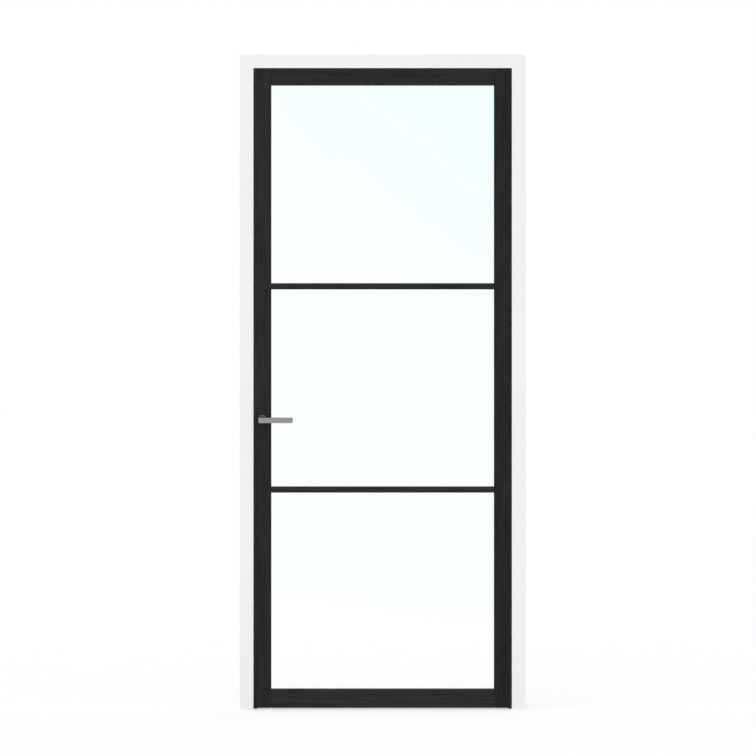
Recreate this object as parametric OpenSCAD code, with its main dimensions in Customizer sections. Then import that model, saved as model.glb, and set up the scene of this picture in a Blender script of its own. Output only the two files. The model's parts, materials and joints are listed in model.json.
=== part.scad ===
// Glazed interior door, closed in its frame.
// X runs across the doorway, Y runs through it towards the back, Z runs up from the floor.

/* [Leaf] */
// Width of the leaf
leaf_w = 930; // [780:5:1030]
// Height of the leaf
leaf_h = 2315; // [2115:5:2500]
// Thickness of the leaf
leaf_t = 40; // [39:0.5:44]
// Face width of the two stiles
stile_w = 61; // [58:1:90]
// Face height of the top rail
top_rail_h = 58; // [50:1:110]
// Face height of the bottom rail
bottom_rail_h = 68; // [58:1:220]
// Face height of the glazing bars
bar_h = 22; // [19:0.5:30]
// Middle of the upper bar above the foot of the leaf
upper_bar_z = 1528; // [1300:1:1700]
// Middle of the lower bar above the foot of the leaf
lower_bar_z = 791; // [500:1:1000]
// Bevel on the long edges of the timber
arris = 1.2; // [0.5:0.1:2]
// Depth of the notches in the foot of the leaf, where the stiles meet the bottom rail
foot_notch = 2.6; // [0.5:0.1:4]

/* [Joints in the leaf] */
// Diameter of the dowels in the rails
rail_dowel_d = 10; // [8:1:12]
// Length of the dowels in the rails
rail_dowel_l = 60; // [40:1:70]
// Distance between the two dowels of a rail end
rail_dowel_pitch = 24; // [18:1:30]
// Diameter of the dowels in the glazing bars
bar_dowel_d = 6; // [4:0.5:8]
// Length of the dowels in the glazing bars
bar_dowel_l = 30; // [20:1:50]

/* [Glazing] */
// Timber in front of the glass
lip_t = 13; // [11:0.5:15]
// Depth of the glazing rebate
rebate_d = 7.5; // [6:0.5:8]
// Thickness of the glass
glass_t = 6; // [4:1:8]
// Play round the edge of each pane
glass_play = 2; // [1:0.5:3]
// Thickness of the seal on each side of the glass
seal_t = 2; // [1:0.5:3]
// Edge of the seal behind the sight line
seal_set = 1; // [0.5:0.5:2]
// Bevel on the glazing beads
bead_bevel = 4; // [1:0.5:6]
// Length of each setting block
block_l = 60; // [30:5:100]
// Middle of each setting block from the side of its pane
block_in = 120; // [80:5:200]

/* [Frame] */
// Face width of the posts and the head
frame_w = 50; // [44:1:90]
// Depth of the frame through the wall
frame_d = 90; // [75:1:180]
// Gap between the leaf and the frame
side_gap = 3; // [3:0.25:4]
// Gap between the leaf and the floor
floor_gap = 6; // [3:1:12]
// Gap between the back of the leaf and the stop
stop_gap = 3; // [2:0.5:5]
// Width of the stop seal
stop_seal_w = 9; // [6:0.5:11]
// Width of the groove that holds the stop seal
groove_w = 3; // [2:0.5:4]
// Depth of the groove that holds the stop seal
groove_d = 5; // [3:0.5:8]
// Diameter of the holes for the wall screws
fixing_d = 7; // [5:0.5:9]
// Distance of the outer wall screws from the ends of the posts
fixing_z = 287; // [150:1:400]

/* [Hinges] */
// Middle of the outer hinges from the ends of the leaf
hinge_end = 220; // [120:5:400]
// Height of each hinge cup
cup_h = 110; // [104:1:150]
// Width of each hinge cup
cup_w = 30; // [29.5:0.5:32]
// Depth of each hinge cup
cup_d = 16; // [14:0.5:20]
// Height of the pocket in each cup
pocket_h = 66; // [50:1:68]
// Distance of the cup pivots from the middle of the gap
pivot_in = 6; // [6:0.1:6.5]
// Distance of the cup pivots behind the front of the leaf
pivot_back = 14; // [13.5:0.1:14]
// Bow of the hinge links
link_bow = 4; // [3.5:0.1:4.5]
// Width of the hinge links
link_w = 6.6; // [5:0.1:7]
// Height of the middle link
mid_link_h = 24; // [14:1:34]
// Diameter of the hinge pins
hinge_pin_d = 4; // [3:0.1:4.5]
// Diameter of the hinge screws
hinge_screw_d = 4; // [3:0.5:5]
// Length of the hinge screws
hinge_screw_l = 35; // [25:1:40]

/* [Handle] */
// Height of the spindle above the floor
handle_z = 1048; // [950:1:1150]
// Distance of the spindle from the edge of the leaf
backset = 30; // [29:0.5:31]
// Length of the lever
lever_l = 120; // [100:1:140]
// Length of the lever behind the spindle
lever_tail = 13; // [8.4:0.1:16]
// Height of the lever
lever_h = 19; // [17:0.5:26]
// Thickness of the lever
lever_t = 9; // [7:0.5:14]
// Front of the lever from the leaf
lever_out = 52; // [45:1:65]
// Rounding of the lever
lever_round = 1.6; // [0.5:0.1:3]
// Diameter of the neck
neck_d = 16; // [14:0.5:16.5]
// Side of the square spindle
spindle_s = 8; // [7:0.5:9]
// Diameter of the rose
rose_d = 38; // [35:0.5:39]
// Thickness of the rose
rose_t = 7; // [5.5:0.5:10]
// Rounding of the rim of the rose
rose_round = 3.5; // [2:0.5:4]

/* [Latch] */
// Length of the forend
forend_h = 130; // [122:1:160]
// Width of the forend
forend_w = 20; // [18:0.5:22]
// Thickness of the forend
forend_t = 3; // [2:0.5:4]
// Depth of the case
case_d = 42; // [40:0.5:43]
// Thickness of the case
case_t = 14; // [13:0.5:16]
// Wall of the case
case_wall = 1.5; // [1:0.1:1.8]
// How far the bolt stands out
bolt_proud = 2.4; // [1:0.1:2.5]
// Height of the bolt
bolt_h = 18; // [17:0.5:20]
// Thickness of the bolt
bolt_t = 9; // [7:0.5:9.5]
// Travel of the bolt
bolt_travel = 8; // [7.5:0.1:9]
// Turn of the lever
lever_turn = 40; // [36:1:44]

/* [Hidden] */
$fn = 48;
overrun = 1;
fit = 0.2;
running_fit = 0.05;
side_play = 0.3;
mitre_gap = 0.1;
cross_length_share = 0.58;
cross_width_share = 0.15;
cross_depth_share = 0.3;
wood_black = [0.16, 0.16, 0.16];
wood_white = [0.93, 0.93, 0.92];
beech = [0.8, 0.66, 0.48];
glass_tint = [0.85, 0.97, 0.97, 0.35];
rubber = [0.07, 0.07, 0.07];
steel = [0.62, 0.62, 0.63];
zinc = [0.5, 0.51, 0.53];
dark_metal = [0.12, 0.12, 0.12];

// Planes of the leaf
front_y = -leaf_t / 2;
back_y = leaf_t / 2;
edge_x = leaf_w / 2;
sight_x = edge_x - stile_w;
rebate_x = sight_x + rebate_d;
foot_z = floor_gap;
top_z = floor_gap + leaf_h;
lip_y = front_y + lip_t;
glass_y = lip_y + seal_t;
rear_seal_y = glass_y + glass_t;
bead_y = rear_seal_y + seal_t;

// Sight lines of the three panes, bottom to top
pane_names = ["lower", "middle", "upper"];
sight_lows = [
    foot_z + bottom_rail_h,
    foot_z + lower_bar_z + bar_h / 2,
    foot_z + upper_bar_z + bar_h / 2
];
sight_highs = [
    foot_z + lower_bar_z - bar_h / 2,
    foot_z + upper_bar_z - bar_h / 2,
    top_z - top_rail_h
];

// Dowel places
rail_dowel_y = (lip_y + back_y) / 2;
bar_dowel_y = (front_y + lip_y) / 2;
rail_mids = [
    foot_z + (bottom_rail_h - rebate_d) / 2,
    top_z - (top_rail_h - rebate_d) / 2
];
bar_mids = [foot_z + lower_bar_z, foot_z + upper_bar_z];

// Planes of the frame, its stop clear of the rear rose
rose_clear = 1;
stop_w = backset + side_gap - rose_d / 2 - rose_clear;
frame_x = edge_x + side_gap;
outer_x = frame_x + frame_w;
stop_x = frame_x - stop_w;
frame_z = top_z + side_gap;
outer_z = frame_z + frame_w;
stop_z = frame_z - stop_w;
stop_y = back_y + stop_gap;
frame_back_y = front_y + frame_d;
fixing_y = (stop_y + frame_back_y) / 2;
fixing_head_d = fixing_d * 2;
fixing_rows = 4;
fixing_pitch = (outer_z - fixing_z * 2) / (fixing_rows - 1);
seal_clear = 0.3;
seal_y = back_y + seal_clear;
seal_in = stop_w / 2;
corner_screw_d = 5;
corner_screw_l = 88;
corner_head_d = 10;
corner_ys = [front_y + frame_d / 4, front_y + frame_d * 3 / 4];

// Hinge places
hinge_names = ["lower", "middle", "upper"];
hinge_zs = [foot_z + hinge_end, foot_z + leaf_h / 2, top_z - hinge_end];
hinge_x = edge_x + side_gap / 2;
half_gap = side_gap / 2;
cup_wall = 2.5;
cup_y = (leaf_t - cup_w) / 2;
cup_floor = 2;
pin_seat = 6;
knuckle_r = 4.2;
hinge_screw_z = (pocket_h + cup_h) / 4;
hinge_head_d = hinge_screw_d * 2;
pin_frame = [pivot_in, pivot_back];
pin_link = [0, pivot_back * 2];
link_run = norm(pin_link - pin_frame);
bow_way = [pivot_back, pivot_in] / link_run;
link_r = (link_run * link_run / 4 + link_bow * link_bow) / (link_bow * 2);
link_mid = (pin_frame + pin_link) / 2 + link_bow * bow_way;
link_centre = link_mid - link_r * bow_way;

// Handle places
spindle_x = -edge_x + backset;
neck_r = neck_d / 2;
neck_in = 8;
rose_r = rose_d / 2;
rose_wall = 1.5;
rose_base_t = rose_t - rose_wall;
rose_base_r = rose_r - rose_wall;
rim_share = 0.8;
rose_base_round = min(rose_round, rose_base_t * rim_share);
collar_r = neck_r + rose_wall;
collar_l = 8;
rose_screw_d = 3;
rose_screw_l = 16;
rose_screw_head_d = 5;
rose_screw_off = rose_base_r - (rose_round - rose_wall) - rose_screw_head_d / 2;
socket_l = 20;
spindle_half = leaf_t / 2 + socket_l;
set_screw_d = 5;
hex_share = 0.29;
set_screw_z = rose_t + set_screw_d;
hex_r = set_screw_d * hex_share;
hex_depth = set_screw_d / 2;

// Latch places
case_x0 = -edge_x + forend_t;
case_x1 = case_x0 + case_d;
case_below = 24;
case_above = 42;
case_z0 = handle_z - case_below;
case_z1 = handle_z + case_above;
case_mid_z = (case_z0 + case_z1) / 2;
case_in = case_t - case_wall * 2;
forend_screw_d = 3.5;
forend_screw_l = 25;
forend_screw_head_d = 7;
forend_screw_off = (forend_h + case_z1 - case_z0) / 4;
bolt_l = 20;
bolt_up = 27;
bolt_z = handle_z + bolt_up;
bolt_nose = 0.8;
bolt_fit = 0.15;
shank_t = 5;
shank_h = 6;
hub_r = 8.5;
journal_r = 7;
finger_r = bolt_travel / (lever_turn * PI / 180);
finger_w = 5;
finger_stem_w = 3;
finger_rest = -lever_turn / 2;
finger_clear = 0.15;
yoke_t = 4;
yoke_x = spindle_x + finger_r * sin(finger_rest) + finger_w / 2 + finger_clear;
yoke_z = handle_z + hub_r + side_play;
shank_z = handle_z + finger_r + finger_w / 2 + fit * 2;
spring_r = 2.6;
spring_wire_r = 0.4;
spring_turns = 5;
spring_x0 = -edge_x - bolt_proud + bolt_l;
spring_l = 15;
spring_z = bolt_z + bolt_h / 2 - spring_r - spring_wire_r * 2;
lug_t = 2;
spring_steps = spring_turns * 14;
spring_sides = 6;

// Keeper places
keeper_t = 2;
keeper_w = 22;
keeper_h = 80;
keeper_screw_d = 3.5;
keeper_screw_l = 30;
keeper_screw_head_d = 7;
keeper_screw_off = 30;
magnet_w = 12;
magnet_h = 26;
magnet_l = 8;

// Outline in X and Z carried through from y0 to y1
module slab(y0, y1) {
    translate([0, y1, 0])
        rotate([90, 0, 0])
            linear_extrude(height = y1 - y0)
                children();
}

// Outline in Y and Z carried across from x0 to x1
module run(x0, x1) {
    translate([x0, 0, 0])
        rotate([90, 0, 90])
            linear_extrude(height = x1 - x0)
                children();
}

// Outline in X and Y carried up from z0 to z1
module rise(z0, z1) {
    translate([0, 0, z0])
        linear_extrude(height = z1 - z0)
            children();
}

// Rectangle between two corners
module area(low, high) {
    translate(low)
        square(high - low);
}

// Block between two corners
module block(low, high) {
    translate(low)
        cube(high - low);
}

// Upright slot shape with round ends
module obround(w, h) {
    square([w, h - w], center = true);
    for (side = [-1, 1])
        translate([0, side * (h - w) / 2])
            circle(d = w);
}

// Rectangle with round corners about the origin
module rounded(w, h, r) {
    square([w - r * 2, h], center = true);
    square([w, h - r * 2], center = true);
    for (sx = [-1, 1], sy = [-1, 1])
        translate([sx * (w / 2 - r), sy * (h / 2 - r)])
            circle(r = r);
}

// Countersunk screw along +X with its head at the origin
module screw(d, head_d, l) {
    rotate([0, 90, 0]) {
        cylinder(h = (head_d - d) / 2, d1 = head_d, d2 = d);
        cylinder(h = l, d = d);
    }
}

// Countersunk screw with a cross recess in its head
module cross_screw(d, head_d, l) {
    cross_l = head_d * cross_length_share;
    cross_w = head_d * cross_width_share;
    cross_d = head_d * cross_depth_share;
    difference() {
        screw(d, head_d, l);
        intersection() {
            for (turn = [0, 90])
                rotate([turn, 0, 0])
                    block([-overrun, -cross_l / 2, -cross_w / 2], [cross_d, cross_l / 2, cross_w / 2]);
            translate([-overrun, 0, 0])
                rotate([0, 90, 0])
                    cylinder(h = cross_d + overrun, d1 = cross_l, d2 = cross_w * 2);
        }
    }
}

// Half section of a round plate with a rounded rim
module rim_section(r, t, round) {
    intersection() {
        area([0, 0], [r, t]);
        union() {
            square([r - round, t]);
            square([r, t - round]);
            translate([r - round, t - round])
                circle(r = round);
        }
    }
}

// Both sides of the leaf
module both_sides() {
    children();
    mirror([1, 0, 0])
        children();
}

// Stile section, hinge side
module stile_outline() {
    polygon([
        [sight_x + arris, front_y],
        [edge_x - arris, front_y],
        [edge_x, front_y + arris],
        [edge_x, back_y - arris],
        [edge_x - arris, back_y],
        [rebate_x, back_y],
        [rebate_x, lip_y],
        [sight_x, lip_y],
        [sight_x, front_y + arris]
    ]);
}

// Notches across the foot, one at each end of the bottom rail
module foot_notches() {
    reach = foot_notch + overrun;
    both_sides()
        slab(front_y - overrun, back_y + overrun)
            polygon([
                [sight_x - reach, foot_z - overrun],
                [sight_x + reach, foot_z - overrun],
                [sight_x, foot_z + foot_notch]
            ]);
}

module dowel_set() {
    both_sides() {
        for (mid = rail_mids, side = [-1, 1])
            translate([rebate_x, rail_dowel_y, mid + side * rail_dowel_pitch / 2])
                rotate([0, 90, 0])
                    cylinder(h = rail_dowel_l, d = rail_dowel_d, center = true);
        for (mid = bar_mids)
            translate([sight_x, bar_dowel_y, mid])
                rotate([0, 90, 0])
                    cylinder(h = bar_dowel_l, d = bar_dowel_d, center = true);
    }
}

module dowels() {
    color(beech)
        dowel_set();
}

// Shape of a hinge cup on the frame side of one hinge
module cup_body(room) {
    run(half_gap - room, half_gap + cup_d)
        translate([cup_y + cup_w / 2, 0])
            obround(cup_w + room * 2, cup_h + room * 2);
}

module at_hinge(i) {
    translate([hinge_x, front_y, hinge_zs[i]])
        children();
}

// Places of the two screws of a cup
module hinge_screw_places() {
    for (side = [-1, 1])
        translate([half_gap, leaf_t / 2, side * hinge_screw_z])
            children();
}

module hinge_screw_pair() {
    hinge_screw_places()
        screw(hinge_screw_d, hinge_head_d, hinge_screw_l);
}

module hinge_cross_screws() {
    hinge_screw_places()
        cross_screw(hinge_screw_d, hinge_head_d, hinge_screw_l);
}

module hinge_pin_at(place, half) {
    translate([place[0], place[1], -half])
        cylinder(h = half * 2, d = hinge_pin_d);
}

module hinge_stile() {
    color(wood_black)
        difference() {
            rise(foot_z, top_z)
                stile_outline();
            foot_notches();
            dowel_set();
            for (i = [0:2])
                at_hinge(i)
                    mirror([1, 0, 0]) {
                        cup_body(fit);
                        hinge_screw_pair();
                    }
        }
}

module lock_stile() {
    color(wood_black)
        difference() {
            mirror([1, 0, 0])
                rise(foot_z, top_z)
                    stile_outline();
            foot_notches();
            dowel_set();
            forend_block(fit);
            forend_screw_set();
            block(
                [case_x0 - overrun, -case_t / 2 - fit, case_z0 - fit],
                [case_x1 + fit, case_t / 2 + fit, case_z1 + fit]
            );
            for (side = [-1, 1])
                on_face(side) {
                    translate([0, 0, -leaf_t / 2])
                        cylinder(h = leaf_t / 2 + overrun, r = collar_r);
                    rose_screw_pair();
                }
        }
}

// Rail or bar with its housed ends
module rail(low, high, low_rebate, high_rebate, low_arris, high_arris) {
    run(-sight_x, sight_x)
        polygon([
            [front_y, low + arris],
            [front_y + arris, low],
            [lip_y, low],
            [lip_y, high],
            [front_y + arris, high],
            [front_y, high - arris]
        ]);
    run(-rebate_x, rebate_x)
        polygon([
            [lip_y, low + low_rebate],
            [back_y - low_arris, low + low_rebate],
            [back_y, low + low_rebate + low_arris],
            [back_y, high - high_rebate - high_arris],
            [back_y - high_arris, high - high_rebate],
            [lip_y, high - high_rebate]
        ]);
}

module top_rail() {
    color(wood_black)
        difference() {
            rail(top_z - top_rail_h, top_z, rebate_d, 0, 0, arris);
            dowel_set();
        }
}

module bottom_rail() {
    color(wood_black)
        difference() {
            rail(foot_z, foot_z + bottom_rail_h, 0, rebate_d, arris, 0);
            foot_notches();
            dowel_set();
        }
}

module glazing_bar(mid) {
    color(wood_black)
        difference() {
            rail(mid - bar_h / 2, mid + bar_h / 2, rebate_d, rebate_d, 0, 0);
            dowel_set();
        }
}

module upper_bar() {
    glazing_bar(bar_mids[1]);
}

module lower_bar() {
    glazing_bar(bar_mids[0]);
}

// Front shape of a pane, grown or shrunk from its sight lines
module pane_area(i, grow) {
    area([-sight_x - grow, sight_lows[i] - grow], [sight_x + grow, sight_highs[i] + grow]);
}

module pane(i) {
    color(glass_tint)
        slab(glass_y, rear_seal_y)
            pane_area(i, rebate_d - glass_play);
}

module glass_seal(i) {
    color(rubber)
        for (y = [lip_y, rear_seal_y])
            slab(y, y + seal_t)
                difference() {
                    pane_area(i, rebate_d - glass_play);
                    pane_area(i, seal_set);
                }
}

// One mitred bead of length l, its outer edge on the X axis and its sight edge above
module bead(l) {
    intersection() {
        slab(bead_y, back_y)
            polygon([
                [-l / 2 + mitre_gap, 0],
                [l / 2 - mitre_gap, 0],
                [l / 2 - mitre_gap - rebate_d, rebate_d],
                [-l / 2 + mitre_gap + rebate_d, rebate_d]
            ]);
        run(-l / 2, l / 2)
            polygon([
                [bead_y, 0],
                [back_y, 0],
                [back_y, rebate_d - bead_bevel],
                [back_y - bead_bevel, rebate_d],
                [bead_y, rebate_d]
            ]);
    }
}

module beads(i) {
    wide = rebate_x * 2;
    tall = sight_highs[i] - sight_lows[i] + rebate_d * 2;
    mid = (sight_highs[i] + sight_lows[i]) / 2;
    color(wood_black)
        for (turn = [0:90:270])
            translate([-sin(turn) * wide / 2, 0, mid - cos(turn) * tall / 2])
                rotate([0, turn, 0])
                    bead(abs(cos(turn)) * wide + abs(sin(turn)) * tall);
}

module setting_blocks() {
    pane_foot = rebate_d - glass_play;
    color(rubber)
        for (i = [0:2], side = [-1, 1])
            translate([side * (rebate_x - block_in), 0, sight_lows[i] - rebate_d])
                block(
                    [-block_l / 2, glass_y, 0],
                    [block_l / 2, rear_seal_y, rebate_d - pane_foot]
                );
}

// Places on a face of the leaf at the spindle: X along the leaf, Y up, Z out from the leaf
module on_face(side) {
    translate([spindle_x, side * leaf_t / 2, handle_z])
        mirror([0, (side + 1) / 2, 0])
            rotate([90, 0, 0])
                children();
}

module spindle_bar(half) {
    block(
        [spindle_x - spindle_s / 2, -half, handle_z - spindle_s / 2],
        [spindle_x + spindle_s / 2, half, handle_z + spindle_s / 2]
    );
}

// Place of the grip screw under the neck, Z pointing in
module set_screw_place() {
    translate([0, -neck_r, set_screw_z])
        rotate([-90, 0, 0])
            children();
}

module set_screw() {
    set_screw_place()
        cylinder(h = neck_r - spindle_s / 2, d = set_screw_d);
}

module lever(side) {
    grip_mid = lever_l / 2 - lever_tail;
    color(steel)
        difference() {
            on_face(side) {
                translate([0, 0, -neck_in])
                    cylinder(h = neck_in + lever_out - lever_t / 2, r = neck_r);
                intersection() {
                    translate([grip_mid, 0, lever_out - lever_t])
                        linear_extrude(height = lever_t)
                            rounded(lever_l, lever_h, lever_round);
                    translate([-lever_tail, 0, lever_out - lever_t / 2])
                        rotate([90, 0, 90])
                            linear_extrude(height = lever_l)
                                rounded(lever_h, lever_t, lever_round);
                }
            }
            spindle_bar(spindle_half);
            on_face(side)
                set_screw();
        }
}

module front_lever() {
    lever(-1);
}

module rear_lever() {
    lever(1);
}

module spindle() {
    color(zinc)
        spindle_bar(spindle_half);
}

module set_screws() {
    color(dark_metal)
        for (side = [-1, 1])
            on_face(side)
                difference() {
                    set_screw();
                    set_screw_place()
                        translate([0, 0, -overrun])
                            cylinder(h = hex_depth + overrun, r = hex_r, $fn = 6);
                }
}

// Places of the two screws of a rose
module rose_screw_places() {
    for (side = [-1, 1])
        translate([0, side * rose_screw_off, rose_base_t])
            rotate([0, 90, 0])
                children();
}

module rose_screw_pair() {
    rose_screw_places()
        screw(rose_screw_d, rose_screw_head_d, rose_screw_l);
}

module rose_base(side) {
    color(zinc)
        on_face(side)
            difference() {
                rotate_extrude()
                    difference() {
                        union() {
                            rim_section(rose_base_r, rose_base_t, rose_base_round);
                            area([0, -collar_l], [collar_r, rose_base_t]);
                        }
                        area([0, -collar_l - overrun], [neck_r + running_fit, rose_t]);
                    }
                rose_screw_pair();
            }
}

module rose(side) {
    color(dark_metal)
        on_face(side)
            rotate_extrude()
                difference() {
                    rim_section(rose_r, rose_t, rose_round);
                    rim_section(rose_base_r, rose_base_t, rose_round - rose_wall);
                    area([0, -overrun], [rose_base_r, overrun]);
                    area([0, -overrun], [neck_r + side_play, rose_t + overrun]);
                }
}

module rose_screws() {
    color(zinc)
        for (side = [-1, 1])
            on_face(side)
                rose_screw_places()
                    cross_screw(rose_screw_d, rose_screw_head_d, rose_screw_l);
}

module forend_block(room) {
    translate([0, 0, case_mid_z])
        block(
            [-edge_x - room, -forend_w / 2 - room, -forend_h / 2 - room],
            [-edge_x + forend_t, forend_w / 2 + room, forend_h / 2 + room]
        );
}

// Places of the two screws of the forend
module forend_screw_places() {
    for (side = [-1, 1])
        translate([-edge_x, 0, case_mid_z + side * forend_screw_off])
            children();
}

module forend_screw_set() {
    forend_screw_places()
        screw(forend_screw_d, forend_screw_head_d, forend_screw_l);
}

module forend() {
    color(steel)
        difference() {
            forend_block(0);
            forend_screw_set();
            block(
                [-edge_x - overrun, -bolt_t / 2 - bolt_fit, bolt_z - bolt_h / 2 - bolt_fit],
                [case_x0 + overrun, bolt_t / 2 + bolt_fit, bolt_z + bolt_h / 2 + bolt_fit]
            );
        }
}

module forend_screws() {
    color(steel)
        forend_screw_places()
            cross_screw(forend_screw_d, forend_screw_head_d, forend_screw_l);
}

module journal_hole() {
    translate([spindle_x, -case_t, handle_z])
        rotate([-90, 0, 0])
            cylinder(h = case_t * 2, r = journal_r + running_fit);
}

module lock_case() {
    color(zinc)
        difference() {
            block(
                [case_x0, -case_t / 2, case_z0],
                [case_x1, case_t / 2 - case_wall, case_z1]
            );
            difference() {
                block(
                    [case_x0 - overrun, -case_in / 2, case_z0 + case_wall],
                    [case_x1 - case_wall, case_t, case_z1 - case_wall]
                );
                block(
                    [spring_x0 + spring_l, -case_t, bolt_z],
                    [spring_x0 + spring_l + lug_t, case_in / 2, case_z1]
                );
            }
            journal_hole();
        }
}

module lock_cover() {
    color(zinc)
        difference() {
            block(
                [case_x0, case_t / 2 - case_wall, case_z0],
                [case_x1, case_t / 2, case_z1]
            );
            journal_hole();
        }
}

module latch_bolt() {
    nose_x = -edge_x - bolt_proud;
    tail_x = nose_x + bolt_l;
    half = bolt_t / 2;
    color(steel) {
        rise(bolt_z - bolt_h / 2, bolt_z + bolt_h / 2)
            polygon([
                [nose_x, -half + bolt_nose],
                [nose_x + bolt_nose, -half],
                [tail_x, -half],
                [tail_x, half],
                [nose_x + bolt_nose, half],
                [nose_x, half - bolt_nose]
            ]);
        block(
            [tail_x - yoke_t, -shank_t / 2, shank_z],
            [yoke_x + yoke_t, shank_t / 2, shank_z + shank_h]
        );
        block(
            [yoke_x, -shank_t / 2, yoke_z],
            [yoke_x + yoke_t, shank_t / 2, shank_z + shank_h]
        );
    }
}

// Coil along +X from the bolt to the lug
module latch_spring() {
    coil_l = spring_l - spring_wire_r * 2;
    ring = [for (k = [0:spring_sides - 1]) 360 * k / spring_sides];
    points = [
        for (s = [0:spring_steps], turn = ring)
            let (
                around = 360 * spring_turns * s / spring_steps,
                out = spring_r + spring_wire_r * cos(turn)
            )
            [
                spring_wire_r + coil_l * s / spring_steps + spring_wire_r * sin(turn),
                out * cos(around),
                out * sin(around)
            ]
    ];
    sides = [
        for (s = [0:spring_steps - 1], k = [0:spring_sides - 1])
            let (n = (k + 1) % spring_sides, a = s * spring_sides, b = a + spring_sides)
            [a + k, b + k, b + n, a + n]
    ];
    first = [for (k = [0:spring_sides - 1]) k];
    last = [for (k = [spring_sides - 1:-1:0]) spring_steps * spring_sides + k];
    color(steel)
        translate([spring_x0, 0, spring_z])
            polyhedron(points, concat(sides, [first, last]), 4);
}

module follower() {
    color(zinc)
        difference() {
            translate([spindle_x, 0, handle_z])
                rotate([90, 0, 0]) {
                    cylinder(h = case_in - side_play * 2, r = hub_r, center = true);
                    cylinder(h = case_t, r = journal_r, center = true);
                    linear_extrude(height = shank_t, center = true)
                        rotate(-finger_rest) {
                            area([-finger_stem_w / 2, 0], [finger_stem_w / 2, finger_r]);
                            translate([0, finger_r])
                                circle(d = finger_w);
                        }
                }
            spindle_bar(case_t);
        }
}

// Hinge cup of the frame side, its pocket open to the gap
module hinge_cup() {
    color(zinc)
        difference() {
            cup_body(0);
            block(
                [half_gap - overrun, cup_y + cup_wall, -pocket_h / 2],
                [half_gap + cup_d - cup_floor, cup_y + cup_w - cup_wall, pocket_h / 2]
            );
            hinge_screw_pair();
            hinge_pin_at(pin_frame, pocket_h / 2 + pin_seat);
        }
}

module frame_cup(i) {
    at_hinge(i)
        hinge_cup();
}

module leaf_cup(i) {
    at_hinge(i)
        mirror([1, 0, 0])
            hinge_cup();
}

// Bowed link from the cup pivot to the shared pin
module link_outline(cup_fit, pin_fit) {
    difference() {
        union() {
            for (pin = [pin_frame, pin_link])
                translate(pin)
                    circle(r = knuckle_r);
            intersection() {
                translate(link_centre)
                    difference() {
                        circle(r = link_r + link_w / 2);
                        circle(r = link_r - link_w / 2);
                    }
                translate(link_centre)
                    polygon([
                        [0, 0],
                        (pin_frame - link_centre) * 2,
                        (link_mid - link_centre) * 2,
                        (pin_link - link_centre) * 2
                    ]);
            }
        }
        translate(pin_frame)
            circle(d = hinge_pin_d + cup_fit * 2);
        translate(pin_link)
            circle(d = hinge_pin_d + pin_fit * 2);
    }
}

module frame_links(i) {
    color(steel)
        at_hinge(i)
            for (side = [0, 1])
                mirror([0, 0, side])
                    rise(mid_link_h / 2 + side_play, pocket_h / 2 - side_play)
                        link_outline(running_fit, 0);
}

module leaf_link(i) {
    color(steel)
        at_hinge(i)
            mirror([1, 0, 0])
                rise(-mid_link_h / 2, mid_link_h / 2)
                    link_outline(running_fit, running_fit);
}

module frame_hinge_pins() {
    color(steel)
        for (i = [0:2])
            at_hinge(i)
                hinge_pin_at(pin_frame, pocket_h / 2 + pin_seat);
}

module leaf_hinge_pins() {
    color(steel)
        for (i = [0:2])
            at_hinge(i)
                mirror([1, 0, 0])
                    hinge_pin_at(pin_frame, pocket_h / 2 + pin_seat);
}

module link_pins() {
    color(steel)
        for (i = [0:2])
            at_hinge(i)
                hinge_pin_at(pin_link, pocket_h / 2 - side_play);
}

module frame_hinge_screws() {
    color(zinc)
        for (i = [0:2])
            at_hinge(i)
                hinge_cross_screws();
}

module leaf_hinge_screws() {
    color(zinc)
        for (i = [0:2])
            at_hinge(i)
                mirror([1, 0, 0])
                    hinge_cross_screws();
}

// Section of the frame: first axis out from the doorway, second axis through the wall
module frame_outline(face) {
    polygon([
        [face, front_y + arris],
        [face + arris, front_y],
        [face + frame_w - arris, front_y],
        [face + frame_w, front_y + arris],
        [face + frame_w, frame_back_y - arris],
        [face + frame_w - arris, frame_back_y],
        [face - stop_w + arris, frame_back_y],
        [face - stop_w, frame_back_y - arris],
        [face - stop_w, stop_y + arris],
        [face - stop_w + arris, stop_y],
        [face, stop_y]
    ]);
}

// Corner of the frame beyond the mitre, above it or below it
module mitre_waste(above) {
    low = -stop_w - overrun;
    high = frame_w + overrun;
    translate([frame_x, 0, frame_z])
        slab(front_y - overrun, frame_back_y + overrun)
            polygon([[low, low], [high, high], above ? [low, high] : [high, low]]);
}

// Band along the stop, grown from its middle line
module stop_band(half) {
    difference() {
        area([-stop_x - seal_in - half, 0], [stop_x + seal_in + half, stop_z + seal_in + half]);
        area(
            [-stop_x - seal_in + half, -overrun],
            [stop_x + seal_in - half, stop_z + seal_in - half]
        );
    }
}

module seal_groove() {
    slab(stop_y - overrun, stop_y + groove_d)
        stop_band(groove_w / 2);
}

// Places of the screws down through the corners of the frame
module corner_screw_places() {
    both_sides()
        for (y = corner_ys)
            translate([frame_x + frame_w / 2, y, outer_z])
                rotate([0, 90, 0])
                    children();
}

module corner_screw_set() {
    corner_screw_places()
        screw(corner_screw_d, corner_head_d, corner_screw_l);
}

// Hole for a wall screw, sunk at the doorway side
module fixing_hole(z) {
    translate([stop_x, fixing_y, z])
        rotate([0, 90, 0]) {
            translate([0, 0, -overrun])
                cylinder(h = stop_w + frame_w + overrun * 2, d = fixing_d);
            translate([0, 0, -overrun])
                cylinder(
                    h = (fixing_head_d - fixing_d) / 2 + overrun,
                    d1 = fixing_head_d + overrun * 2,
                    d2 = fixing_d
                );
        }
}

module post() {
    difference() {
        rise(0, outer_z)
            frame_outline(frame_x);
        mitre_waste(true);
        seal_groove();
        corner_screw_set();
        for (k = [0:fixing_rows - 1])
            fixing_hole(fixing_z + k * fixing_pitch);
    }
}

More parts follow.
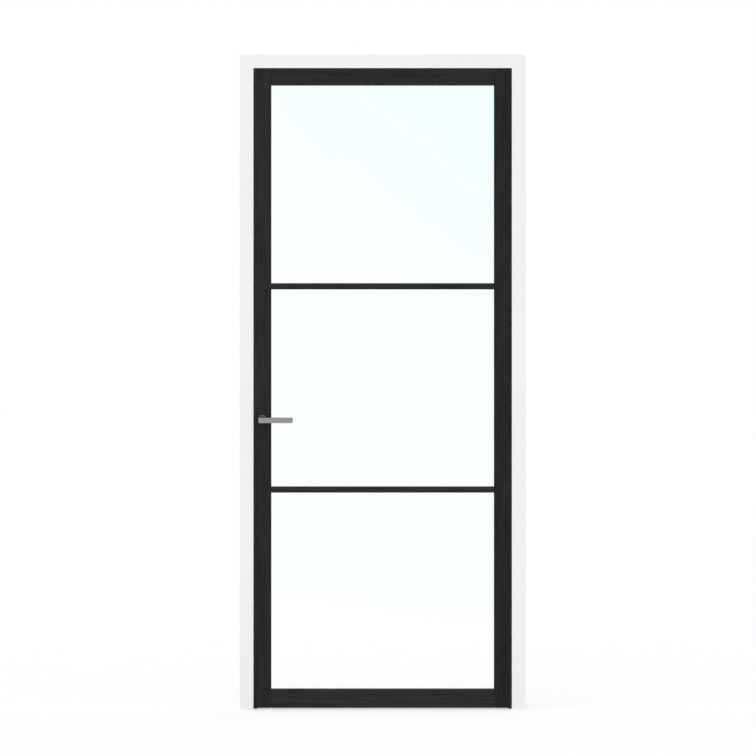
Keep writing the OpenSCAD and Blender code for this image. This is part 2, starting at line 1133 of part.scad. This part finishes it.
module hinge_post() {
    color(wood_white)
        difference() {
            post();
            for (i = [0:2])
                at_hinge(i) {
                    cup_body(fit);
                    hinge_screw_pair();
                }
        }
}

module keeper_block(room) {
    translate([-frame_x, 0, bolt_z])
        block(
            [-keeper_t, -keeper_w / 2 - room, -keeper_h / 2 - room],
            [room, keeper_w / 2 + room, keeper_h / 2 + room]
        );
}

module magnet_block(room) {
    translate([-frame_x, 0, bolt_z])
        block(
            [-magnet_l, -magnet_w / 2 - room, -magnet_h / 2 - room],
            [0, magnet_w / 2 + room, magnet_h / 2 + room]
        );
}

// Places of the two screws of the keeper
module keeper_screw_places() {
    for (side = [-1, 1])
        translate([-frame_x, 0, bolt_z + side * keeper_screw_off])
            mirror([1, 0, 0])
                children();
}

module keeper_screw_set() {
    keeper_screw_places()
        screw(keeper_screw_d, keeper_screw_head_d, keeper_screw_l);
}

module lock_post() {
    color(wood_white)
        difference() {
            mirror([1, 0, 0])
                post();
            keeper_block(fit);
            magnet_block(fit);
            keeper_screw_set();
        }
}

module head() {
    color(wood_white)
        difference() {
            translate([-outer_x, 0, 0])
                rotate([90, 0, 90])
                    linear_extrude(height = outer_x * 2)
                        mirror([1, -1])
                            frame_outline(frame_z);
            both_sides()
                mitre_waste(false);
            seal_groove();
            corner_screw_set();
        }
}

module stop_seal() {
    color(rubber) {
        slab(seal_y, stop_y)
            stop_band(stop_seal_w / 2);
        slab(stop_y, stop_y + groove_d)
            stop_band(groove_w / 2);
    }
}

module corner_screws() {
    color(zinc)
        corner_screw_places()
            cross_screw(corner_screw_d, corner_head_d, corner_screw_l);
}

module keeper_plate() {
    color(steel)
        difference() {
            keeper_block(0);
            magnet_block(0);
            keeper_screw_set();
        }
}

module keeper_magnet() {
    color(dark_metal)
        magnet_block(0);
}

module keeper_screws() {
    color(steel)
        keeper_screw_places()
            cross_screw(keeper_screw_d, keeper_screw_head_d, keeper_screw_l);
}

lock_stile();
hinge_stile();
top_rail();
bottom_rail();
upper_bar();
lower_bar();
dowels();
for (i = [0:2]) {
    pane(i);
    glass_seal(i);
    beads(i);
}
setting_blocks();
lock_case();
lock_cover();
forend();
forend_screws();
latch_bolt();
latch_spring();
follower();
front_lever();
rear_lever();
spindle();
set_screws();
rose_base(-1);  // front_rose_base
rose_base(1);  // rear_rose_base
rose(-1);  // front_rose
rose(1);  // rear_rose
rose_screws();
for (i = [0:2]) {
    frame_cup(i);
    leaf_cup(i);
    frame_links(i);
    leaf_link(i);
}
frame_hinge_pins();
leaf_hinge_pins();
link_pins();
frame_hinge_screws();
leaf_hinge_screws();
lock_post();
hinge_post();
head();
stop_seal();
corner_screws();
keeper_plate();
keeper_magnet();
keeper_screws();
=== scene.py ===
import bpy
import json
import math
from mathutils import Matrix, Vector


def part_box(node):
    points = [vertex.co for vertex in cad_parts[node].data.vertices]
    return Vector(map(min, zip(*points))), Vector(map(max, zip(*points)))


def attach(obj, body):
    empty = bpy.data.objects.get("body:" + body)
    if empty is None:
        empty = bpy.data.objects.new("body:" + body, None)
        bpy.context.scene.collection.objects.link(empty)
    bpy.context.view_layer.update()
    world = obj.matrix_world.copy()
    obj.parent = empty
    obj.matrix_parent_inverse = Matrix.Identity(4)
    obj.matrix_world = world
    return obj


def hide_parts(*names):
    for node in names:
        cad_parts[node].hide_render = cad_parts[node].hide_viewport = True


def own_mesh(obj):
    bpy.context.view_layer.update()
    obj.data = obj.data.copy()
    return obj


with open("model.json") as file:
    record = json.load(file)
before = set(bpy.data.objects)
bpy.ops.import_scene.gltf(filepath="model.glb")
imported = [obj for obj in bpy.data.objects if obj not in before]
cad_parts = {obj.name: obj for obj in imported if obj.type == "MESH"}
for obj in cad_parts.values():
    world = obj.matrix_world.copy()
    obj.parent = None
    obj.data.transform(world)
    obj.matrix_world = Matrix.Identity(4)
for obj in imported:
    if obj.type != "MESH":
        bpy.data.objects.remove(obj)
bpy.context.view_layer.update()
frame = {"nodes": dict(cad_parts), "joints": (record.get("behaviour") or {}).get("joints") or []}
nodes = frame["nodes"]
print("frame loaded:", len(nodes), "pieces")


def grey(level):  # a screen level of 0 to 255 as a colour
    value = level / 255
    value = value / 12.92 if value < 0.04045 else ((value + 0.055) / 1.055) ** 2.4
    return (value, value, value, 1.0)


class Wire:  # a node's output, used in sums like a number
    def __init__(self, paint, socket):
        self.paint = paint
        self.socket = socket

    def reckon(self, operation, *values):
        return self.paint.add("ShaderNodeMath", {"operation": operation}, dict(enumerate(values)))

    def __add__(self, other):
        return self.reckon("ADD", self, other)

    def __radd__(self, other):
        return self.reckon("ADD", other, self)

    def __sub__(self, other):
        return self.reckon("SUBTRACT", self, other)

    def __rsub__(self, other):
        return self.reckon("SUBTRACT", other, self)

    def __mul__(self, other):
        return self.reckon("MULTIPLY", self, other)

    def __rmul__(self, other):
        return self.reckon("MULTIPLY", other, self)

    def __gt__(self, other):
        return self.reckon("GREATER_THAN", self, other)

    def __lt__(self, other):
        return self.reckon("LESS_THAN", self, other)

    def __abs__(self):
        return self.reckon("ABSOLUTE", self)


class Paint:  # the nodes of one material or world
    usualRough = 0.55  # how strong the finer steps of a noise are

    def __init__(self, owner, cut=0.0):
        owner.use_nodes = True
        self.owner = owner
        self.nodes = owner.node_tree.nodes
        self.links = owner.node_tree.links
        self.cut = cut  # where in the pattern the piece was cut

    def join(self, socket, value):
        if isinstance(value, Wire):
            self.links.new(value.socket, socket)
        else:
            socket.default_value = value

    def add(self, kind, settings=None, sockets=None, out=0):
        node = self.nodes.new(kind)
        for key, value in (settings or {}).items():
            setattr(node, key, value)
        for key, value in (sockets or {}).items():
            self.join(node.inputs[key], value)
        return Wire(self, node.outputs[out])

    def place(self):
        return self.add("ShaderNodeTexCoord", out="Object")

    def part(self, name):  # one of X, Y and Z of the place
        return self.add("ShaderNodeSeparateXYZ", {}, {0: self.place()}, out=name)

    def noise(self, pattern, axis=None):  # steps a metre: long along the axis, fine across it
        scale = [pattern["long"] if name == axis else pattern["fine"] for name in "XYZ"]
        sockets = {"Vector": self.place(), "Scale": scale, "Location": [self.cut] * 3}
        place = self.add("ShaderNodeMapping", {}, sockets)
        rough = pattern.get("rough", self.usualRough)
        sockets = {"Vector": place, "Scale": 1.0, "Detail": pattern["detail"], "Roughness": rough}
        return self.add("ShaderNodeTexNoise", {}, sockets)

    def spread(self, value, limits):  # the two limits become 0 and 1
        sockets = {"Value": value, "From Min": limits[0], "From Max": limits[1]}
        return self.add("ShaderNodeMapRange", {"clamp": True}, sockets)

    def mix(self, factor, first, second):  # sockets 6 and 7 and output 2 are the node's colours
        return self.add("ShaderNodeMix", {"data_type": "RGBA"}, {0: factor, 6: first, 7: second}, out=2)

    def tone(self, value, finish):  # from the dark colour of a finish to its light one
        shade = self.spread(value, finish["toneLimits"])
        return self.mix(shade, grey(finish["dark"]), grey(finish["light"]))

    def bump(self, height, relief):
        sockets = {"Height": height, "Strength": relief["strength"], "Distance": relief["depth"]}
        return self.add("ShaderNodeBump", {}, sockets)

    def finish(self, **sockets):  # a socket's name has _ for each space
        shader = self.nodes["Principled BSDF"]
        for name, value in sockets.items():
            self.join(shader.inputs[name.replace("_", " ")], value)
        return self.owner


def newPaint(name, cut=0.0):
    return Paint(bpy.data.materials.new(name), cut)


def blend(first, second, share):  # the share is that of the second
    return first * (1 - share) + second * share


def sway(pattern, amount):  # a pattern's rise and fall about its middle
    return (pattern - 0.5) * amount


blackLacquer = {
    "dark": 11,
    "light": 36,
    "toneLimits": (0.38, 0.62),
    "roughness": 0.48,
    "grainSway": 0.08,
    "cloudSway": 0.1,
    "gloss": 0.19,
    "relief": {"strength": 0.12, "depth": 0.0004},
    "pores": {"fine": 600, "long": 9, "detail": 4, "share": 0.2},
    "flecks": {"fine": 130, "long": 8, "detail": 3, "share": 0.45},
    "figure": {"fine": 34, "long": 1.2, "detail": 3, "share": 0.35},
    "cloud": {"fine": 3, "detail": 2},
    "cutStep": 17.3,
}
blackBoards = {  # which way the grain runs, and how much lighter the board is
    "lock_stile": {"axis": "Z", "tone": 0},
    "hinge_stile": {"axis": "Z", "tone": -5},
    "top_rail": {"axis": "X", "tone": 2},
    "bottom_rail": {"axis": "X", "tone": 6},
    "upper_bar": {"axis": "X", "tone": 5},
    "lower_bar": {"axis": "X", "tone": 7},
    "lower_beads": {"axis": "XZ", "tone": 0},
    "middle_beads": {"axis": "XZ", "tone": 0},
    "upper_beads": {"axis": "XZ", "tone": 0},
}


def blackGrain(paint, axis):  # drawn out along the board
    patterns = [blackLacquer[name] for name in ("pores", "flecks", "figure")]
    pores, flecks, figure = [paint.noise(pattern, axis) * pattern["share"] for pattern in patterns]
    return pores + flecks + figure


def mitredGrain(paint, node):  # the grain turns at the mitres
    low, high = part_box(node)
    middle = (low + high) / 2
    half = (high - low) / 2
    fromSide = half.x - abs(paint.part("X") - middle.x)
    fromEnd = half.z - abs(paint.part("Z") - middle.z)
    across = blackGrain(paint, "X")
    return across + (fromEnd > fromSide) * (blackGrain(paint, "Z") - across)


def makeBlackLacquer(node, board, cut):
    paint = newPaint("blackLacquer_" + node, cut)
    mitred = board["axis"] == "XZ"
    grain = mitredGrain(paint, node) if mitred else blackGrain(paint, board["axis"])
    shade = paint.spread(grain, blackLacquer["toneLimits"])
    cloud = paint.noise(blackLacquer["cloud"])
    dark = grey(blackLacquer["dark"] + board["tone"])
    light = grey(blackLacquer["light"] + board["tone"])
    uneven = sway(shade, blackLacquer["grainSway"]) + sway(cloud, blackLacquer["cloudSway"])
    return paint.finish(
        Base_Color=paint.mix(shade, dark, light),
        Roughness=blackLacquer["roughness"] + uneven,
        Normal=paint.bump(grain, blackLacquer["relief"]),
        Specular_IOR_Level=blackLacquer["gloss"],
    )


whiteLacquer = {
    "dark": 243,
    "light": 248,
    "toneLimits": (0.3, 0.7),
    "roughness": 0.38,
    "peelSway": 0.1,
    "brushShare": 0.4,
    "relief": {"strength": 0.06, "depth": 0.0003},
    "peel": {"fine": 260, "detail": 2},
    "brush": {"fine": 300, "long": 3, "detail": 3},
    "cloud": {"fine": 2, "detail": 2},
}


def makeWhiteLacquer(name, axis):
    paint = newPaint(name)
    peel = paint.noise(whiteLacquer["peel"])
    brush = paint.noise(whiteLacquer["brush"], axis)
    cloud = paint.noise(whiteLacquer["cloud"])
    return paint.finish(
        Base_Color=paint.tone(blend(cloud, brush, whiteLacquer["brushShare"]), whiteLacquer),
        Roughness=whiteLacquer["roughness"] + sway(peel, whiteLacquer["peelSway"]),
        Normal=paint.bump(blend(peel, brush, whiteLacquer["brushShare"]), whiteLacquer["relief"]),
    )


paleGlass = {
    "ior": 1.45,
    "red": 0.962,  # the share of red that comes through
    "reflectionCornerRed": 0.905,
    "wave": {"fine": 2.2, "long": 1.1, "detail": 2},
    "reflectionEdge": {"slope": 0.141, "sway": 0.02, "limits": (0.33, 0.42)},  # painted reflection: the glass is left white below a sloping line near the foot
    "depth": {"slope": 0.75, "sway": 0.3, "limits": (1.45, 2.55)},  # painted reflection: the tint is deepest at one upper corner
}


def makeGlass(name):
    paint = newPaint(name)
    wave = paint.noise(paleGlass["wave"], "Z")

    def paintedReflectionRamp(ramp):  # from 0 to 1 up the door, along a sloping line, for the painted reflection
        line = paint.part("Z") + paint.part("X") * ramp["slope"]
        return paint.spread(line + sway(wave, ramp["sway"]), ramp["limits"])

    # painted reflection in the colour: the glass's own pale tint, left white at the foot and deepened at
    # one upper corner
    depth = paintedReflectionRamp(paleGlass["depth"]) * (paleGlass["red"] - paleGlass["reflectionCornerRed"])
    red = 1 - paintedReflectionRamp(paleGlass["reflectionEdge"]) * (1 - paleGlass["red"] + depth)
    return paint.finish(
        Base_Color=paint.add("ShaderNodeCombineColor", {}, {"Red": red, "Green": 1.0, "Blue": 1.0}),
        Roughness=0.0,
        IOR=paleGlass["ior"],
        Transmission_Weight=1.0,
    )


brushedSteel = {
    "dark": 140,
    "light": 161,
    "toneLimits": (0.36, 0.66),
    "roughness": 0.3,
    "lineSway": 0.2,
    "wearSway": 0.08,
    "wearShare": 0.25,
    "turned": 0.4,
    "relief": {"strength": 0.1, "depth": 0.00005},
    "lines": {"fine": 2600, "long": 14, "detail": 3, "rough": 0.65},
    "wear": {"fine": 60, "detail": 3},
}


def makeBrushedSteel(name, axis):
    paint = newPaint(name)
    lines = paint.noise(brushedSteel["lines"], axis)
    wear = paint.noise(brushedSteel["wear"])
    uneven = sway(lines, brushedSteel["lineSway"]) + sway(wear, brushedSteel["wearSway"])
    return paint.finish(
        Base_Color=paint.tone(blend(lines, wear, brushedSteel["wearShare"]), brushedSteel),
        Metallic=1.0,
        Roughness=brushedSteel["roughness"] + uneven,
        Normal=paint.bump(lines, brushedSteel["relief"]),
        Anisotropic=brushedSteel["turned"],
    )


castZinc = {
    "dark": 120,
    "light": 142,
    "toneLimits": (0.35, 0.68),
    "roughness": 0.42,
    "flowSway": 0.2,
    "skinShare": 0.3,
    "relief": {"strength": 0.15, "depth": 0.0001},
    "skin": {"fine": 700, "detail": 3},
    "flow": {"fine": 50, "detail": 4},
}


def makeZinc(name):
    paint = newPaint(name)
    skin = paint.noise(castZinc["skin"])
    flow = paint.noise(castZinc["flow"])
    return paint.finish(
        Base_Color=paint.tone(blend(flow, skin, castZinc["skinShare"]), castZinc),
        Metallic=1.0,
        Roughness=castZinc["roughness"] + sway(flow, castZinc["flowSway"]),
        Normal=paint.bump(skin, castZinc["relief"]),
    )


blackCoat = {
    "dark": 8,
    "light": 14,
    "toneLimits": (0.3, 0.7),
    "roughness": 0.14,
    "powderSway": 0.15,
    "gloss": 0.29,
    "relief": {"strength": 0.2, "depth": 0.0001},
    "powder": {"fine": 1400, "detail": 2},
    "cloud": {"fine": 40, "detail": 2},
}
# painted highlight on the upper rim of the rose: its colour, and where on the rim it lies
roseRimHighlight = {
    "tone": 100,
    "radiusShares": (0.605, 0.816),  # of the radius of the rose
    "heightShares": (0.621, 0.8),
    "edgeNoiseShare": 0.158,
    "edgeNoise": {"fine": 220, "detail": 3},
}


def paintedRimHighlight(paint, node):  # painted highlight: the coat is painted lighter along the upper rim of the rose, where light from above would catch it
    low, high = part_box(node)
    middle = (low + high) / 2
    inRadii = 2 / (high.x - low.x)
    aside = (paint.part("X") - middle.x) * inRadii
    above = (paint.part("Z") - middle.z) * inRadii
    edge = above + sway(paint.noise(roseRimHighlight["edgeNoise"]), roseRimHighlight["edgeNoiseShare"])
    rim = paint.spread(aside * aside + above * above, [share ** 2 for share in roseRimHighlight["radiusShares"]])
    return rim * paint.spread(edge, roseRimHighlight["heightShares"])


def makeBlackCoat(name, highlightNode=None):
    paint = newPaint(name)
    powder = paint.noise(blackCoat["powder"])
    colour = paint.tone(paint.noise(blackCoat["cloud"]), blackCoat)
    # the painted highlight is mixed into the coat along the upper rim
    if highlightNode:
        colour = paint.mix(paintedRimHighlight(paint, highlightNode), colour, grey(roseRimHighlight["tone"]))
    return paint.finish(
        Base_Color=colour,
        Roughness=blackCoat["roughness"] + sway(powder, blackCoat["powderSway"]),
        Normal=paint.bump(powder, blackCoat["relief"]),
        Specular_IOR_Level=blackCoat["gloss"],
    )


blackRubber = {
    "dark": 20,
    "light": 32,
    "toneLimits": (0.35, 0.7),
    "roughness": 0.72,
    "bloomSway": 0.15,
    "gloss": 0.3,
    "relief": {"strength": 0.15, "depth": 0.0001},
    "bloom": {"fine": 90, "detail": 4},
    "skin": {"fine": 1500, "detail": 2},
}


def makeRubber(name):
    paint = newPaint(name)
    bloom = paint.noise(blackRubber["bloom"])
    skin = paint.noise(blackRubber["skin"])
    return paint.finish(
        Base_Color=paint.tone(bloom, blackRubber),
        Roughness=blackRubber["roughness"] + sway(bloom, blackRubber["bloomSway"]),
        Normal=paint.bump(skin, blackRubber["relief"]),
        Specular_IOR_Level=blackRubber["gloss"],
    )


beechWood = {
    "dark": (0.42, 0.24, 0.12, 1),
    "light": (0.6, 0.4, 0.22, 1),
    "toneLimits": (0.35, 0.7),
    "roughness": 0.6,
    "grainSway": 0.1,
    "relief": {"strength": 0.2, "depth": 0.0002},
    "grain": {"fine": 500, "long": 20, "detail": 4},
}


def makeBeech(name, axis):
    paint = newPaint(name)
    grain = paint.noise(beechWood["grain"], axis)
    shade = paint.spread(grain, beechWood["toneLimits"])
    return paint.finish(
        Base_Color=paint.mix(shade, beechWood["dark"], beechWood["light"]),
        Roughness=beechWood["roughness"] + sway(grain, beechWood["grainSway"]),
        Normal=paint.bump(grain, beechWood["relief"]),
    )


levels = ["lower", "middle", "upper"]


def atLevels(*pieces):  # a piece that is there at every level of the door
    return [level + "_" + piece for level in levels for piece in pieces]


whiteUp = makeWhiteLacquer("whiteLacquerUpright", "Z")
whiteAcross = makeWhiteLacquer("whiteLacquerAcross", "X")
glass = makeGlass("paleGlass")
steelAcross = makeBrushedSteel("brushedSteelAcross", "X")
steelUp = makeBrushedSteel("brushedSteelUpright", "Z")
zinc = makeZinc("castZinc")
coat = makeBlackCoat("blackCoat")
# black coat of the roses, with a painted highlight on the upper rim
highlightedRoseCoat = makeBlackCoat("blackCoatRimHighlight", "front_rose")
rubber = makeRubber("blackRubber")
beech = makeBeech("beech", "X")
finishes = {
    whiteUp: ["lock_post", "hinge_post"],
    whiteAcross: ["head"],
    glass: atLevels("pane"),
    steelAcross: ["front_lever", "rear_lever", "latch_bolt", "latch_spring"],
    steelUp: [
        "forend", "forend_screws", "keeper_plate", "keeper_screws",
        "frame_hinge_pins", "leaf_hinge_pins", "link_pins",
        *atLevels("frame_links", "leaf_link"),
    ],
    zinc: [
        "lock_case", "lock_cover", "follower", "spindle",
        "front_rose_base", "rear_rose_base", "rose_screws",
        "frame_hinge_screws", "leaf_hinge_screws", "corner_screws",
        *atLevels("frame_cup", "leaf_cup"),
    ],
    coat: ["set_screws", "keeper_magnet"],
    highlightedRoseCoat: ["front_rose", "rear_rose"],
    rubber: ["setting_blocks", "stop_seal", *atLevels("glass_seal")],
    beech: ["dowels"],
}
for count, (name, board) in enumerate(blackBoards.items()):
    finishes[makeBlackLacquer(name, board, count * blackLacquer["cutStep"])] = [name]
for material, names in finishes.items():
    for name in names:
        for slot in nodes[name].material_slots:
            slot.material = material
for name in atLevels("pane"):
    nodes[name].visible_shadow = False  # clear glass lets the light through
print("finishes on:", sum(len(names) for names in finishes.values()), "pieces")

spring = {
    "turns": 5,
    "stepsATurn": 28,
    "wireSides": 10,
    "wireRadius": 0.0004,
    "mergeWithin": 0.000001,
    "smoothTo": 40,
}


def makeLatchSpring():  # a coil of wire in place of the latch spring; it keeps one length, while the real spring shortens as the bolt draws back
    low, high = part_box("latch_spring")
    start = low.x + spring["wireRadius"]
    middle = (low + high) / 2
    coilRadius = (high.y - low.y) / 2 - spring["wireRadius"]
    bpy.ops.object.select_all(action="DESELECT")
    bpy.ops.mesh.primitive_circle_add(
        vertices=spring["wireSides"],
        radius=spring["wireRadius"],
        location=(start, middle.y, middle.z),
    )
    coil = bpy.context.object
    coil.name = "latchSpringCoil"
    bpy.ops.object.mode_set(mode="EDIT")
    bpy.ops.mesh.select_all(action="SELECT")
    bpy.ops.transform.translate(value=(0, coilRadius, 0))  # out to the line that the wire follows
    bpy.ops.object.mode_set(mode="OBJECT")
    wind = coil.modifiers.new("wind", "SCREW")
    wind.axis = "X"
    wind.iterations = spring["turns"]
    wind.screw_offset = (high.x - spring["wireRadius"] - start) / spring["turns"]
    wind.steps = spring["stepsATurn"]
    wind.render_steps = spring["stepsATurn"]
    bpy.ops.object.modifier_apply(modifier="wind")
    bpy.ops.object.mode_set(mode="EDIT")
    bpy.ops.mesh.select_all(action="SELECT")
    bpy.ops.mesh.remove_doubles(threshold=spring["mergeWithin"])
    bpy.ops.mesh.fill_holes(sides=spring["wireSides"])  # the cut ends of the wire
    bpy.ops.mesh.normals_make_consistent(inside=False)
    bpy.ops.object.mode_set(mode="OBJECT")
    bpy.ops.object.shade_smooth_by_angle(angle=math.radians(spring["smoothTo"]))
    bpy.ops.object.transform_apply(location=True, rotation=True, scale=True)
    coil.data.materials.append(steelUp)
    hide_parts("latch_spring")
    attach(coil, "leaf")
    slide = next(joint for joint in frame["joints"] if joint["name"] == "latch_slide")
    keep = 1 - slide["range_m"][1] / (high.x - low.x)
    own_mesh(coil)


makeLatchSpring()
print("latch spring wound")

camera = {
    "distance": 12.0,  # from the front of the leaf
    "sideways": -0.0168,
    "height": 1.2014,
    "viewWidth": 2.7386,
    "tilt": 90,  # level
}
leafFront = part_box("lock_stile")[0].y
bpy.ops.object.select_all(action="DESELECT")
bpy.ops.object.camera_add(
    location=(camera["sideways"], leafFront - camera["distance"], camera["height"]),
    rotation=(math.radians(camera["tilt"]), 0, 0),
)
eye = bpy.context.object
eye.name = "photoCamera"
eye.data.sensor_fit = "HORIZONTAL"
eye.data.lens = eye.data.sensor_width * camera["distance"] / camera["viewWidth"]
bpy.context.scene.camera = eye
print("camera set, lens", round(eye.data.lens, 2))

studio = {
    "sky": 0.8,  # as a light, and white where it is seen
    "keyPlace": (-2, -3, 5),
    "keyStrength": 0.75,
    "keyTilt": 32,
    "keyTurn": -30,
    "keySoft": 50,
    "floorWidth": 200,
    "floor": 0.9,
    "floorSeen": 0.45,  # with the glow it is white, and still shows the shadow
    "floorGlow": 0.55,
}
bpy.ops.object.light_add(
    type="SUN",
    location=studio["keyPlace"],
    rotation=(math.radians(studio["keyTilt"]), 0, math.radians(studio["keyTurn"])),
)
key = bpy.context.object
key.name = "keyLight"
key.data.energy = studio["keyStrength"]
key.data.angle = math.radians(studio["keySoft"])


def seenDirectly(paint):  # 1 for rays that show the background, 0 for those that light the object
    rays = ("Is Camera Ray", "Is Glossy Ray", "Is Transmission Ray")
    lens, mirror, window = [paint.add("ShaderNodeLightPath", out=ray) for ray in rays]
    return paint.spread(lens + mirror + window, (0, 1))


world = bpy.data.worlds.new("studio")
bpy.context.scene.world = world
sky = Paint(world)
background = sky.nodes["Background"]
sky.join(background.inputs["Color"], grey(255))
sky.join(background.inputs["Strength"], blend(studio["sky"], 1, seenDirectly(sky)))

bpy.ops.mesh.primitive_plane_add(size=studio["floorWidth"], location=(0, 0, 0))
ground = bpy.context.object
ground.name = "paleFloor"
pale = newPaint("paleFloor")
seen = seenDirectly(pale)
pale.finish(
    Base_Color=blend(studio["floor"], studio["floorSeen"], seen),
    Roughness=1.0,
    Specular_IOR_Level=0.0,
)
matt = Wire(pale, pale.nodes["Principled BSDF"].outputs["BSDF"])
glow = pale.add("ShaderNodeEmission", {}, {"Strength": seen * studio["floorGlow"]})
both = pale.add("ShaderNodeAddShader", {}, {0: matt, 1: glow})
pale.join(pale.nodes["Material Output"].inputs["Surface"], both)
ground.data.materials.append(pale.owner)
print("studio ready")

bpy.context.scene.view_settings.view_transform = "Standard"
